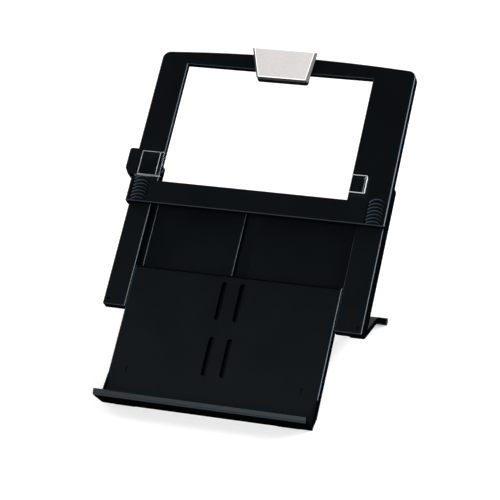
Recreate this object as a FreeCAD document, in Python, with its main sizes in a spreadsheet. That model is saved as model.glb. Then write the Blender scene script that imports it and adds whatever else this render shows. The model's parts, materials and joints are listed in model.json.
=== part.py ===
import FreeCAD, Part
import math
import os
import re
import Sketcher

# Copy holder with line guide, in millimetres.
# Every piece is drawn flat in the board's own frame: X runs across the board, Y runs up the
# slope from the bottom edge of the base, and Z stands out of the board, with zero on the face
# that the paper slides over. One placement then leans the whole board back on its legs.

SIZES = {
    # Lean of the board on the desk, in degrees
    "tilt": 37,
    # Base: a hollow shell with two side strips that go on as arms behind the frame
    "base_width": 295.6,
    "base_length": 178,
    "arm_width": 24,
    "shell_depth": 16,
    "cover_depth": 6,
    "base_corner": 1,
    "edge_round": 0.9,
    "end_face": 11,
    "wall": 2.2,
    "back_skin": 2.2,
    "recess_depth": 12.6,
    "recess_spare": 12.6,
    "panel_skin": 2.2,
    "bead_place": 3.6,
    "bead_width": 1.4,
    "bead_height": 0.8,
    "bead_round": 0.5,
    "bead_gap": 0.3,
    "channel_width": 16.5,
    "channel_low": 14,
    "channel_rim": 1.6,
    "channel_head": 8,
    "slope_spare": 0.8,
    "rib_wall": 1.6,
    "rib_place": 95,
    "groove_depth": 2.8,
    "groove_top": 1.6,
    "groove_width": 2.8,
    "groove_wall": 2.2,
    "groove_low": 3,
    "running_gap": 0.3,
    "plug_inset": 5.2,
    "plug_rise": 6.7,
    "plug_radius": 1.7,
    "plug_depth": 1.6,
    "plug_sink": 0.9,
    # Sliding tray with its ledge
    "tray_middle": -2.2,
    "tray_width": 237.2,
    "tray_top": 49.6,
    "tray_bottom": 109,
    "tray_travel": 88,
    "tray_gap": 1.1,
    "tray_plate": 2.6,
    "tray_wall": 1.8,
    "tray_taper": 13,
    "tray_nose": 5,
    "tray_end_wall": 3,
    "end_groove_place": 2.6,
    "end_groove_width": 1.8,
    "end_groove_depth": 2,
    "tongue_plate": 1.5,
    "tongue_reach": 2,
    "tongue_low": 8,
    "slot_middle": -4,
    "slot_length": 45,
    "slot_width": 5.6,
    "slot_offset": 10.4,
    "slot_upper": 18.8,
    "slot_lower": -46,
    "slot_depth": 7,
    "slot_wall": 1.2,
    "slit_place": 99,
    "slit_middle": -72,
    "slit_length": 7,
    "slit_width": 1.4,
    "slit_depth": 1.1,
    "keel_wall": 2.2,
    "keel_length": 22,
    "keel_rise": 2.3,
    "gusset_rise": 6,
    "gusset_length": 30,
    "pad_inner": 92,
    "pad_width": 14,
    "pad_low": 30,
    "pad_length": 12,
    "pad_seat": 1,
    "pad_bite": 2.15,
    "ledge_wall": 2.5,
    "ledge_front": 30,
    "ledge_drop": 5.4,
    "ledge_splay": 3,
    "ledge_lip": 7,
    "ledge_slant": 2.2,
    "ledge_round": 3,
    "lip_round": 1.1,
    "ledge_flange": 18,
    "flange_plate": 2.4,
    "foot_wedge": 1,
    "foot_flat": 5,
    "foot_block": 11.5,
    "foot_inset": 14,
    "foot_width": 24,
    # Upper frame with its window
    "frame_overlap": 55,
    "top_bar": 14.3,
    "frame_crown": 5.2,
    "frame_corner": 8,
    "frame_face": 8,
    "frame_mould": 5,
    "frame_skin": 2,
    "frame_plate": 2,
    "frame_round": 1.2,
    "skirt_wall": 1.9,
    "skirt_drop": 4.1,
    "skirt_hook": 2.2,
    "bar_left": 32.5,
    "bar_right": 47.3,
    "sill": 27.5,
    "window_height": 150,
    "hollow_rise": 12,
    "hollow_half": 100,
    "grip_width": 20,
    "grip_height": 32,
    "grip_inset": 3.5,
    "grip_depth": 2.2,
    "grip_pitch": 4.3,
    "grip_rib": 1.4,
    "grip_side": 1.2,
    "grip_low": 1.5,
    "grip_bow": 12.4,
    "glide_inner": 5,
    "glide_outer": 12,
    "glide_low": 3,
    "glide_high": 6,
    # Clip at the top
    "bracket_plate": 2,
    "bracket_over": 1.6,
    "bracket_back": 2.1,
    "bracket_catch": 5,
    "tongue_half": 30,
    "tongue_corner": 3,
    "jaw_overlap": 15.5,
    "clip_pin_height": 14.4,
    "clip_pin_place": 3.6,
    "clip_pin_radius": 1.5,
    "clip_pin_over": 3.2,
    "clip_lean": 24,
    "clip_top_half": 38,
    "clip_bottom_half": 30,
    "clip_reach": 17,
    "clip_plate_low": 4.5,
    "clip_plate_high": 7,
    "clip_cover": 1.5,
    "clip_rim": 2.8,
    "clip_wall": 3.2,
    "clip_bevel": 2.5,
    "clip_corner": 3.2,
    "clip_pad": 1,
    "clip_pad_side": 2,
    "clip_pad_low": 0.5,
    "clip_pad_high": 5,
    "clip_lug": 22,
    "lug_radius": 3,
    "lug_plate": 3,
    "lever_lug_radius": 2.6,
    "lever_lug_plate": 2.4,
    "coil_wire": 1.2,
    "coil_half": 9,
    "coil_play": 0.1,
    "coil_arm_outer": 2.6,
    "coil_arm_inner": 1.8,
    # Line guide
    "guide_middle": 169,
    "head_height": 30,
    "head_width": 28,
    "head_lap": 3,
    "bar_height": 20.8,
    "bar_overlap": 18.3,
    "bar_plate": 2,
    "head_rim": 1.1,
    "head_rib": 5.5,
    "head_depth": 3.4,
    "guide_clear": 0.35,
    "slider_plate": 2,
    "slider_wall": 6.6,
    "slider_height": 32,
    "slider_hook": 2.2,
    "slider_chamfer": 2,
    "slider_taper": 4,
    "slider_taper_rise": 7,
    "shelf_side": 1,
    "shelf_short": 6,
    "runner_wall": 2.4,
    "brake_half": 6,
    "brake_bite": 1.2,
    "brake_low": -1,
    "brake_high": 5,
    # Rear legs
    "leg_inset": 17.3,
    "leg_width": 14,
    "leg_plate": 7,
    "leg_bend": 30,
    "leg_first": 21,
    "leg_second": 60,
    "hub_radius": 7,
    "hub_place": 16,
    "leg_pin_radius": 2,
    "pin_play": 0.05,
    "pin_fit": 0.02,
    "ear_wall": 3,
    "rubber_radius": 4.2,
    "rubber_width": 15,
    # Fasteners
    "screw_radius": 1.3,
    "screw_head": 2.8,
    "screw_sink": 1.8,
    "screw_bite": 5,
    "screw_slot_half": 1.8,
    "screw_slot_side": 0.4,
    "screw_slot_depth": 0.9,
    "screw_low": 40,
    "screw_middle": 99.7,
    "screw_high": 13,
    "screw_shift": 1.4,
    "boss_radius": 3.75,
    "frame_screw_head": 2.3,
    "frame_screw_sink": 1.1,
    "frame_boss_radius": 3.25,
    "frame_screw_low": 45,
    "frame_screw_high": 15,
    "sill_screw_half": 70,
    "ledge_screw_radius": 1.1,
    "ledge_screw_head": 2.3,
    "ledge_screw_sink": 1.2,
    "ledge_screw_bite": 1.6,
    "ledge_screw_inner": 20,
    "ledge_screw_outer": 70,
    "ledge_screw_inset": 5,
    "head_play": 0.1,
    "tip_gap": 0.2,
    # How far a feature reaches into the body that it is added to
    "weld": 0.2,
}

# Angles of the leg's three straight runs, in degrees away from square to the board.
LEG_ANGLES = (-6, 42, 20)

doc = FreeCAD.newDocument("copy_holder")
sheet = doc.addObject("Spreadsheet::Sheet", "Sizes")
for row, (alias, size) in enumerate(SIZES.items(), start=1):
    sheet.set(f"A{row}", alias)
    sheet.set(f"B{row}", str(size))
    sheet.setAlias(f"B{row}", alias)
doc.recompute()

ACROSS = FreeCAD.Vector(1, 0, 0)
UP_SLOPE = FreeCAD.Vector(0, 1, 0)
OUTWARD = FreeCAD.Vector(0, 0, 1)
pieces = {}


def text(expression):
    """The expression with every size name pointed at the sheet."""
    return re.sub(r"[a-z_]+", lambda m: f"Sizes.{m[0]}" if m[0] in SIZES else m[0], str(expression))


def value(expression):
    """The number that an expression has now."""
    result = sheet.evalExpression(str(expression))
    return float(getattr(result, "Value", result))


def bind(obj, prop, expression):
    obj.setExpression(prop, text(expression))


def side_span(side, inner, outer):
    """The lower and higher X of a stretch that is mirrored to one side of the board."""
    if side > 0:
        return f"({inner})", f"({outer})"
    return f"-({outer})", f"-({inner})"


def start_body(label):
    body = doc.addObject("PartDesign::Body", label)
    body.Label = label
    pieces[label] = body
    return body


def fixed_point(sketch, index, position, point):
    for kind, coordinate in (("DistanceX", point[0]), ("DistanceY", point[1])):
        number = sketch.addConstraint(Sketcher.Constraint(kind, -1, 1, index, position, value(coordinate)))
        bind(sketch, f"Constraints[{number}]", coordinate)


def bulged_arc(start, end, radius):
    """An arc from start to end that bulges to the right of the way from one to the other."""
    half = (end - start) * 0.5
    out = FreeCAD.Vector(half.y, -half.x, 0).normalize()
    sagitta = radius - math.sqrt(radius * radius - half.Length * half.Length)
    return Part.Arc(start, start + half + out * sagitta, end)


def add_loop(sketch, points, bulges=None):
    """A closed outline. bulges gives the radius of each stretch that is an arc."""
    bulges = bulges or {}
    first = sketch.GeometryCount
    corners = [FreeCAD.Vector(value(x), value(y), 0) for x, y in points]
    count = len(corners)
    start_of = {}
    end_of = {}
    for i in range(count):
        start, end = corners[i], corners[(i + 1) % count]
        start_of[i], end_of[i] = 1, 2
        if i in bulges:
            arc = bulged_arc(start, end, value(bulges[i]))
            sketch.addGeometry(arc, False)
            if (sketch.Geometry[first + i].StartPoint - start).Length > 1e-6:
                start_of[i], end_of[i] = 2, 1
        else:
            sketch.addGeometry(Part.LineSegment(start, end), False)
    for i in range(count):
        after = (i + 1) % count
        joint = Sketcher.Constraint("Coincident", first + i, end_of[i], first + after, start_of[after])
        sketch.addConstraint(joint)
    for i in range(count):
        fixed_point(sketch, first + i, start_of[i], points[i])
    for i, radius in bulges.items():
        number = sketch.addConstraint(Sketcher.Constraint("Radius", first + i, value(radius)))
        bind(sketch, f"Constraints[{number}]", radius)


def add_disc(sketch, centre, radius):
    index = sketch.GeometryCount
    middle = FreeCAD.Vector(value(centre[0]), value(centre[1]), 0)
    sketch.addGeometry(Part.Circle(middle, OUTWARD, value(radius)), False)
    fixed_point(sketch, index, 3, centre)
    number = sketch.addConstraint(Sketcher.Constraint("Radius", index, value(radius)))
    bind(sketch, f"Constraints[{number}]", radius)


def rectangle(x0, x1, y0, y1):
    return [(x0, y0), (x1, y0), (x1, y1), (x0, y1)]


def draw(body, plane, level, loops=(), discs=(), bulges=None):
    """A sketch on one of the body's own planes, lifted to a level along the plane's normal."""
    sketch = body.newObject("Sketcher::SketchObject", f"{body.Label}_sketch")
    support = [item for item in body.Origin.OriginFeatures if item.Role == f"{plane}_Plane"][0]
    sketch.AttachmentSupport = [(support, "")]
    sketch.MapMode = "FlatFace"
    bind(sketch, "AttachmentOffset.Base.z", level)
    for number, points in enumerate(loops):
        add_loop(sketch, points, bulges if number == 0 else None)
    for centre, radius in discs:
        add_disc(sketch, centre, radius)
    return sketch


def grow(body, plane, low, high, loops=(), discs=(), bulges=None):
    """Adds material between two levels."""
    before = body.Shape.Volume if body.Tip else 0
    pad = body.newObject("PartDesign::Pad", f"{body.Label}_pad")
    pad.Profile = draw(body, plane, low, loops, discs, bulges)
    bind(pad, "Length", f"({high}) - ({low})")
    doc.recompute()
    if body.Shape.Volume <= before:
        raise RuntimeError(f"{pad.Name} adds nothing")
    return pad


def carve(body, plane, low, high, loops=(), discs=(), bulges=None):
    """Takes material away between two levels."""
    before = body.Shape.Volume
    pocket = body.newObject("PartDesign::Pocket", f"{body.Label}_pocket")
    pocket.Profile = draw(body, plane, high, loops, discs, bulges)
    bind(pocket, "Length", f"({high}) - ({low})")
    doc.recompute()
    if body.Shape.Volume >= before:
        raise RuntimeError(f"{pocket.Name} cuts nothing")
    return pocket


def round_edges(body, radius, wanted):
    """Rounds the edges of the body's last feature that the test picks."""
    tip = body.Tip
    names = [f"Edge{i + 1}" for i, edge in enumerate(tip.Shape.Edges) if wanted(edge)]
    if not names:
        raise RuntimeError(f"{body.Label} has no edge to round")
    fillet = body.newObject("PartDesign::Fillet", f"{body.Label}_fillet")
    fillet.Base = (tip, names)
    bind(fillet, "Radius", radius)
    doc.recompute()
    return fillet


def straight_along(edge, axis):
    if len(edge.Vertexes) != 2:
        return False
    way = edge.Vertexes[1].Point - edge.Vertexes[0].Point
    return way.Length > 0 and abs(abs(way.dot(axis)) - way.Length) < 1e-6


def near(a, b):
    return abs(a - b) < 1e-4


def cylinder(name, axis, radius, low, high, a, b):
    """A plain cylinder along X or Z. a and b are its place in the two other directions."""
    rod = doc.addObject("Part::Cylinder", name)
    bind(rod, "Radius", radius)
    bind(rod, "Height", f"({high}) - ({low})")
    if axis == "x":
        rod.Placement = FreeCAD.Placement(FreeCAD.Vector(), FreeCAD.Rotation(FreeCAD.Vector(0, 1, 0), 90))
        places = {"x": low, "y": a, "z": b}
    else:
        places = {"x": a, "y": b, "z": low}
    for letter, place in places.items():
        bind(rod, f"Placement.Base.{letter}", place)
    return rod


def block(name, x0, x1, y0, y1, z0, z1):
    box = doc.addObject("Part::Box", name)
    bind(box, "Length", f"({x1}) - ({x0})")
    bind(box, "Width", f"({y1}) - ({y0})")
    bind(box, "Height", f"({z1}) - ({z0})")
    for letter, place in zip("xyz", (x0, y0, z0)):
        bind(box, f"Placement.Base.{letter}", place)
    return box


def joined(label, shapes, keep=False):
    fuse = doc.addObject("Part::MultiFuse", label)
    fuse.Label = label
    fuse.Shapes = shapes
    if keep:
        pieces[label] = fuse
    return fuse


def less(label, base, tool, keep=False):
    cut = doc.addObject("Part::Cut", label)
    cut.Label = label
    cut.Base = base
    cut.Tool = tool
    if keep:
        pieces[label] = cut
    return cut


# Levels and places that several pieces share
half_base = "(base_width / 2)"
arm_inner = "(base_width / 2 - arm_width)"
base_depth = "(shell_depth + cover_depth)"
back_level = "(-shell_depth - cover_depth)"
panel_level = "(-recess_depth)"
channel_floor = f"({back_level} + back_skin)"
recess_top = "(tray_top + tray_travel + recess_spare)"
middle_length = "(tray_top + tray_travel + recess_spare + wall)"
tray_x0 = "(tray_middle - tray_width / 2)"
tray_x1 = "(tray_middle + tray_width / 2)"
tray_foot_level = "(running_gap - recess_depth)"
channel_x0 = "(slot_middle - channel_width / 2)"
channel_x1 = "(slot_middle + channel_width / 2)"
channel_high = f"({middle_length} - channel_head)"
half_frame = "(base_width / 2 + running_gap + skirt_wall)"
frame_bottom = "(base_length - frame_overlap)"
window_low = "(base_length - frame_overlap + sill)"
window_high = "(base_length - frame_overlap + sill + window_height)"
frame_shoulder = "(base_length - frame_overlap + sill + window_height + top_bar)"
frame_top = "(base_length - frame_overlap + sill + window_height + top_bar + frame_crown)"
window_x0 = f"(bar_left - {half_frame})"
window_x1 = f"({half_frame} - bar_right)"
frame_back_level = "(frame_face - frame_mould)"
plate_level = "(frame_face - frame_mould - frame_plate)"
clip_pin_y = f"({window_high} + clip_pin_place)"
saddle_low = "(-skirt_drop - running_gap - bracket_back)"
groove_floor = "(-groove_top - groove_width)"
leg_middle = "(base_width / 2 - leg_inset)"
leg_inner = f"({leg_middle} - leg_width / 2)"
leg_outer = f"({leg_middle} + leg_width / 2)"
pin_level = f"({back_level} - hub_radius)"
flange_level = "(-tray_plate - flange_plate)"
seat_level = f"({flange_level} + ledge_screw_sink)"
ledge_outer = "(-tray_bottom - ledge_wall - ledge_splay)"

base_outline = [
    (f"-{half_base}", "0"), (half_base, "0"), (half_base, "base_length"), (arm_inner, "base_length"),
    (arm_inner, middle_length), (f"-{arm_inner}", middle_length),
    (f"-{arm_inner}", "base_length"), (f"-{half_base}", "base_length"),
]
end_slope = [
    ("-1", "-end_face"), ("0", "-end_face"), (f"{base_depth} - end_face", back_level),
    (f"{base_depth} - end_face", f"{back_level} - 1"), ("-1", f"{back_level} - 1"),
]
base_screw_x = "(base_width / 2 - arm_width / 2 - screw_shift)"
base_screw_rows = ("screw_low", "screw_middle", "(base_length - screw_high)")
base_screw_places = [(f"{sign}{base_screw_x}", y) for sign in ("-", "") for y in base_screw_rows]
frame_screw_columns = (f"(bar_left / 2 - {half_frame})", f"({half_frame} - bar_right / 2)")
frame_screw_rows = (f"({window_low} + frame_screw_low)", f"({window_high} - frame_screw_high)")
sill_screw_row = f"({frame_bottom} + sill / 2)"
frame_screw_places = [(x, y) for x in frame_screw_columns for y in frame_screw_rows]
frame_screw_places += [("-sill_screw_half", sill_screw_row), ("sill_screw_half", sill_screw_row)]
ledge_screw_row = "(ledge_flange - tray_bottom - ledge_screw_inset)"
ledge_screw_places = [
    (f"(tray_middle {sign} {distance})", ledge_screw_row)
    for sign in "-+" for distance in ("ledge_screw_inner", "ledge_screw_outer")
]
slot_places = [(side, middle) for side in (-1, 1) for middle in ("slot_upper", "slot_lower")]


def about(middle, side, inner, outer):
    """The lower and higher X of a stretch that lies to one side of a middle line."""
    if side > 0:
        return f"({middle} + {inner})", f"({middle} + {outer})"
    return f"({middle} - ({outer}))", f"({middle} - ({inner}))"


def screw(name, x, y, head_radius, head_low, head_high, shank_radius, shank_high):
    """A screw driven upwards, with its flat head at the bottom."""
    head = cylinder(f"{name}_head", "z", f"{head_radius} - head_play", head_low, head_high, x, y)
    shank = cylinder(f"{name}_shank", "z", shank_radius, f"{head_low} + 0.5", shank_high, x, y)
    return joined(f"{name}_whole", [head, shank])


def make_base_shell():
    """The front half of the base, with the tray's deep recess, the keel channel and the side grooves."""
    body = start_body("base_shell")
    grow(body, "XY", "-shell_depth", "0", [base_outline])
    round_edges(body, "base_corner", lambda e: straight_along(e, OUTWARD) and near(e.CenterOfMass.y, 0))
    outer_x = value(half_base)
    round_edges(body, "edge_round", lambda e: near(e.CenterOfMass.z, 0)
                and (near(abs(e.CenterOfMass.x), outer_x) or near(e.CenterOfMass.y, 0)))
    carve(body, "YZ", f"-{half_base} - 1", f"{half_base} + 1", [end_slope])
    strip_in = f"({arm_inner} + wall)"
    strip_out = f"({half_base} - groove_depth - groove_wall)"
    low = "(shell_depth - end_face + wall + slope_spare)"
    sides = [side_span(side, strip_in, strip_out) for side in (-1, 1)]
    hollows = [rectangle(x0, x1, low, "base_length - wall") for x0, x1 in sides]
    carve(body, "XY", "-shell_depth", "-back_skin", hollows)
    under = rectangle(f"-({arm_inner} - wall)", f"{arm_inner} - wall", low, f"{middle_length} - wall")
    carve(body, "XY", "-shell_depth", f"{panel_level} - panel_skin", [under])
    opening = rectangle(f"{tray_x0} - tray_gap", f"{tray_x1} + tray_gap", "-2", recess_top)
    carve(body, "XY", panel_level, "0", [opening])
    inner_x = [value(f"{tray_x0} - tray_gap"), value(f"{tray_x1} + tray_gap")]
    round_edges(body, "edge_round", lambda e: near(e.CenterOfMass.z, 0)
                and any(near(e.CenterOfMass.x, x) for x in inner_x))
    reach = "(tongue_reach + running_gap)"
    undercut = rectangle(f"{tray_x0} - {reach}", f"{tray_x1} + {reach}", "-2", recess_top)
    carve(body, "XY", panel_level, f"{tray_foot_level} + tongue_plate + running_gap", [undercut])
    bead_starts = (f"{tray_x0} - tray_gap + bead_place", f"{channel_x0} - bead_width - bead_gap")
    beads = [rectangle(x, f"{x} + bead_width", "wall", f"{recess_top} - 1") for x in bead_starts]
    grow(body, "XY", f"{panel_level} - weld", f"{panel_level} + bead_height", beads)
    bead_top = value(f"{panel_level} + bead_height")
    round_edges(body, "bead_round",
                lambda e: straight_along(e, UP_SLOPE) and near(e.CenterOfMass.z, bead_top))
    rim = rectangle(f"{channel_x0} - channel_rim", f"{channel_x1} + channel_rim",
                    "channel_low - channel_rim", f"{channel_high} + channel_rim")
    grow(body, "XY", "-shell_depth", f"{panel_level} - panel_skin + weld", [rim])
    channel = rectangle(channel_x0, channel_x1, "channel_low", channel_high)
    carve(body, "XY", "-shell_depth", f"{panel_level} + weld", [channel])
    spans = [side_span(side, f"{half_base} - groove_depth", f"{half_base} + 1") for side in (-1, 1)]
    grooves = [rectangle(x0, x1, "groove_low", "base_length + 1") for x0, x1 in spans]
    carve(body, "XY", groove_floor, "-groove_top", grooves)
    bosses = [(place, "boss_radius") for place in base_screw_places]
    grow(body, "XY", "-shell_depth", "-back_skin + weld", discs=bosses)
    holes = [(place, "screw_radius") for place in base_screw_places]
    carve(body, "XY", "-shell_depth", "-shell_depth + screw_bite", discs=holes)
    plugs = [((f"{side} * ({half_base} - plug_inset)", "plug_rise"), "plug_radius") for side in (-1, 1)]
    carve(body, "XY", "-plug_depth", "0", discs=plugs)


def make_base_cover():
    """The back half of the base, with screw posts, ribs and the ears that the legs turn between."""
    body = start_body("base_back_cover")
    grow(body, "XY", back_level, "-shell_depth", [base_outline])
    round_edges(body, "base_corner", lambda e: straight_along(e, OUTWARD) and near(e.CenterOfMass.y, 0))
    carve(body, "YZ", f"-{half_base} - 1", f"{half_base} + 1", [end_slope])
    low = f"({base_depth} - end_face + wall)"
    inner = [
        (f"wall - {half_base}", low), (f"{half_base} - wall", low),
        (f"{half_base} - wall", "base_length - wall"), (f"{arm_inner} + wall", "base_length - wall"),
        (f"{arm_inner} + wall", f"{middle_length} - wall"),
        (f"-{arm_inner} - wall", f"{middle_length} - wall"),
        (f"-{arm_inner} - wall", "base_length - wall"), (f"wall - {half_base}", "base_length - wall"),
    ]
    carve(body, "XY", channel_floor, "-shell_depth", [inner])
    posts = [(place, "boss_radius") for place in base_screw_places]
    grow(body, "XY", f"{channel_floor} - weld", "-shell_depth", discs=posts)
    high = f"{middle_length} - wall + weld"
    places = (f"{channel_x0} - channel_rim", channel_x1, "-rib_place", "rib_place")
    ribs = [rectangle(x, f"{x} + rib_wall", f"{low} - weld", high) for x in places]
    grow(body, "XY", f"{channel_floor} - weld", "-shell_depth", ribs)
    holes = [(place, "screw_radius") for place in base_screw_places]
    carve(body, "XY", back_level, "-shell_depth", discs=holes)
    heads = [(place, "screw_head") for place in base_screw_places]
    carve(body, "XY", back_level, f"{back_level} + screw_sink", discs=heads)
    ear = [
        ("hub_place - hub_radius", pin_level), ("hub_place + hub_radius", pin_level),
        ("hub_place + hub_radius", f"{back_level} + 1"), (f"{base_depth} - end_face", f"{back_level} + 1"),
    ]
    edge, far = f"({leg_inner} - running_gap)", f"({leg_outer} + running_gap)"
    for side in (-1, 1):
        for inner_x, outer_x in ((f"{edge} - ear_wall", edge), (far, f"{far} + ear_wall")):
            x0, x1 = side_span(side, inner_x, outer_x)
            grow(body, "YZ", x0, x1, [ear])
            grow(body, "YZ", x0, x1, discs=[(("hub_place", pin_level), "hub_radius")])
        x0, x1 = side_span(side, f"{edge} - ear_wall", f"{far} + ear_wall")
        carve(body, "YZ", x0, x1, discs=[(("hub_place", pin_level), "leg_pin_radius + pin_fit")])


def make_base_screws():
    screws = []
    for number, (x, y) in enumerate(base_screw_places):
        whole = screw(f"base_screw_{number}", x, y, "screw_head", back_level, f"{back_level} + screw_sink",
                      "screw_radius", "-shell_depth + screw_bite - tip_gap")
        slot = block(f"base_screw_slot_{number}", f"{x} - screw_slot_half", f"{x} + screw_slot_half",
                     f"{y} - screw_slot_side", f"{y} + screw_slot_side",
                     f"{back_level} - 1", f"{back_level} + screw_slot_depth")
        screws.append(less(f"base_screw_{number}", whole, slot))
    joined("base_screws", screws, keep=True)


def make_strip_plugs():
    plugs = [
        cylinder(f"strip_plug_{side}", "z", "plug_radius - 0.05", "-plug_depth", "-plug_sink",
                 f"{side} * ({half_base} - plug_inset)", "plug_rise")
        for side in (-1, 1)
    ]
    joined("strip_plugs", plugs, keep=True)


def slot_outline(side, middle, spare):
    """One of the tray's long slots with a margin round it, and the radii of its round ends."""
    half = f"(slot_width / 2 + {spare})"
    x0, x1 = about("slot_middle", side, f"slot_offset - {half}", f"slot_offset + {half}")
    low = f"{middle} - slot_length / 2 + slot_width / 2"
    high = f"{middle} + slot_length / 2 - slot_width / 2"
    radius = f"slot_width / 2 + {spare} + 0.001"
    return rectangle(x0, x1, low, high), {0: radius, 2: radius}


def make_tray_plate():
    """The paper tray: an open-backed shell with side tongues, long pockets, small slits and a keel."""
    body = start_body("tray_plate")
    grow(body, "XY", "-tray_plate", "0", [rectangle(tray_x0, tray_x1, "-tray_bottom", "tray_top")])
    edges = [value(tray_x0), value(tray_x1)]
    top = value("tray_top")
    round_edges(body, "edge_round", lambda e: near(e.CenterOfMass.z, 0)
                and (any(near(e.CenterOfMass.x, x) for x in edges) or near(e.CenterOfMass.y, top)))
    wall_side = [
        ("-tray_bottom", "-edge_round - 0.2"), ("-tray_bottom", "-tray_nose"),
        ("tray_taper - tray_bottom", tray_foot_level), ("tray_top", tray_foot_level),
        ("tray_top", "-edge_round - 0.2"),
    ]
    grow(body, "YZ", tray_x0, f"{tray_x0} + tray_wall", [wall_side])
    grow(body, "YZ", f"{tray_x1} - tray_wall", tray_x1, [wall_side])
    end_wall = rectangle(tray_x0, tray_x1, "tray_top - tray_end_wall", "tray_top")
    grow(body, "XY", f"{panel_level} + bead_height + running_gap", "-tray_plate + weld", [end_wall])
    groove = rectangle(f"{tray_x0} + tray_wall", f"{tray_x1} - tray_wall", "tray_top - end_groove_place",
                       "tray_top - end_groove_place + end_groove_width")
    carve(body, "XY", "-end_groove_depth", "0", [groove])
    slits = [
        rectangle(*about("tray_middle", side, "slit_place - slit_width / 2", "slit_place + slit_width / 2"),
                  "slit_middle - slit_length / 2", "slit_middle + slit_length / 2")
        for side in (-1, 1)
    ]
    carve(body, "XY", "-slit_depth", "0", slits)
    tongues = [
        rectangle(f"{tray_x0} - tongue_reach", f"{tray_x0} + 1", "tongue_low", "tray_top"),
        rectangle(f"{tray_x1} - 1", f"{tray_x1} + tongue_reach", "tongue_low", "tray_top"),
    ]
    grow(body, "XY", tray_foot_level, f"{tray_foot_level} + tongue_plate", tongues)
    keel_out = "channel_width / 2 - running_gap"
    keels = [
        rectangle(*about("slot_middle", side, f"{keel_out} - keel_wall", keel_out),
                  "channel_low + running_gap", "channel_low + running_gap + keel_length")
        for side in (-1, 1)
    ]
    grow(body, "XY", f"{channel_floor} + keel_rise", "-tray_plate + weld", keels)
    for side, middle in slot_places:
        outline, bulges = slot_outline(side, middle, "slot_wall")
        grow(body, "XY", "-slot_depth - slot_wall", "-tray_plate + weld", [outline], bulges=bulges)
    for side, middle in slot_places:
        outline, bulges = slot_outline(side, middle, "0")
        carve(body, "XY", "-slot_depth", "0", [outline], bulges=bulges)
    gusset = [
        ("-tray_bottom", "-1"), ("gusset_length - tray_bottom", "-1"),
        ("gusset_length - tray_bottom", "0"), ("-tray_bottom", "gusset_rise"),
    ]
    grow(body, "YZ", tray_x0, f"{tray_x0} + tray_wall", [gusset])
    grow(body, "YZ", f"{tray_x1} - tray_wall", tray_x1, [gusset])
    shanks = [(place, "ledge_screw_radius") for place in ledge_screw_places]
    carve(body, "XY", "-tray_plate", "-tray_plate + ledge_screw_bite", discs=shanks)
    for side in (-1, 1):
        grow(body, "XY", pad_seat_level, "-tray_plate + weld", [pad_outline(side, "1.5")])
        carve(body, "XY", pad_seat_level, f"{pad_seat_level} + pad_seat", [pad_outline(side, "0")])


pad_seat_level = f"({panel_level} + 0.05 + pad_bite - pad_seat)"


def pad_outline(side, spare):
    """The outline of a brake pad under the tray, with a margin round it."""
    x0, x1 = about("tray_middle", side, f"pad_inner - {spare}", f"pad_inner + pad_width + {spare}")
    return rectangle(x0, x1, f"pad_low - {spare}", f"pad_low + pad_length + {spare}")


def make_tray_ledge():
    """The ledge that the paper stands on, with its turned-up lip and the flange under the tray."""
    body = start_body("tray_ledge")
    profile = [
        ("-tray_bottom - ledge_wall", "-ledge_drop"), ("-tray_bottom", "-ledge_drop"),
        ("-tray_bottom", "0.5"),
        (f"{ledge_outer} + ledge_wall", "ledge_front - ledge_slant - ledge_wall"),
        (f"{ledge_outer} + ledge_lip", "ledge_front - ledge_wall"),
        (f"{ledge_outer} + ledge_lip", "ledge_front"), (ledge_outer, "ledge_front - ledge_slant"),
    ]
    grow(body, "YZ", tray_x0, tray_x1, [profile])
    lip_tip = value(f"{ledge_outer} + ledge_lip")
    round_edges(body, "lip_round", lambda e: straight_along(e, ACROSS) and near(e.CenterOfMass.y, lip_tip))
    corner_y, corner_z = value(ledge_outer), value("ledge_front - ledge_slant")
    round_edges(body, "ledge_round", lambda e: straight_along(e, ACROSS)
                and near(e.CenterOfMass.y, corner_y) and near(e.CenterOfMass.z, corner_z))
    flange = [
        ("-tray_bottom - 0.5", "-ledge_drop"), ("ledge_flange - tray_bottom", flange_level),
        ("ledge_flange - tray_bottom", "-tray_plate"), ("-tray_bottom", "-tray_plate"),
        ("-tray_bottom - 0.5", "-tray_plate"),
    ]
    inset = "(tray_wall + running_gap)"
    grow(body, "YZ", f"{tray_x0} + {inset}", f"{tray_x1} - {inset}", [flange])
    heads = [(place, "ledge_screw_head") for place in ledge_screw_places]
    carve(body, "XY", "-ledge_drop", seat_level, discs=heads)
    shanks = [(place, "ledge_screw_radius") for place in ledge_screw_places]
    carve(body, "XY", "-ledge_drop", "-tray_plate", discs=shanks)


def desk_start():
    """The place where the desk meets the front of the ledge's rubber feet."""
    return FreeCAD.Vector(0, value("-tray_bottom - ledge_wall"), value("-ledge_drop - foot_wedge"))


def make_tray_feet():
    """Rubber wedges under the ledge, with the flat that the board stands on."""
    flat_y = "(-tray_bottom - ledge_wall + foot_flat * cos(tilt * 1deg))"
    flat_z = "(-ledge_drop - foot_wedge - foot_flat * sin(tilt * 1deg))"
    slope = "((ledge_drop - tray_plate - flange_plate) / (ledge_flange + 0.5))"
    profile = [
        ("-tray_bottom - ledge_wall", "-ledge_drop"),
        ("-tray_bottom - ledge_wall", "-ledge_drop - foot_wedge"),
        (flat_y, flat_z), ("foot_block - tray_bottom", f"-ledge_drop + (foot_block + 0.5) * {slope}"),
        ("-tray_bottom", "-ledge_drop"),
    ]
    for side, name in ((-1, "tray_foot_left"), (1, "tray_foot_right")):
        body = start_body(name)
        inner = "tray_width / 2 - foot_inset - foot_width"
        outer = "tray_width / 2 - foot_inset"
        grow(body, "YZ", *about("tray_middle", side, inner, outer), [profile])


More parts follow.
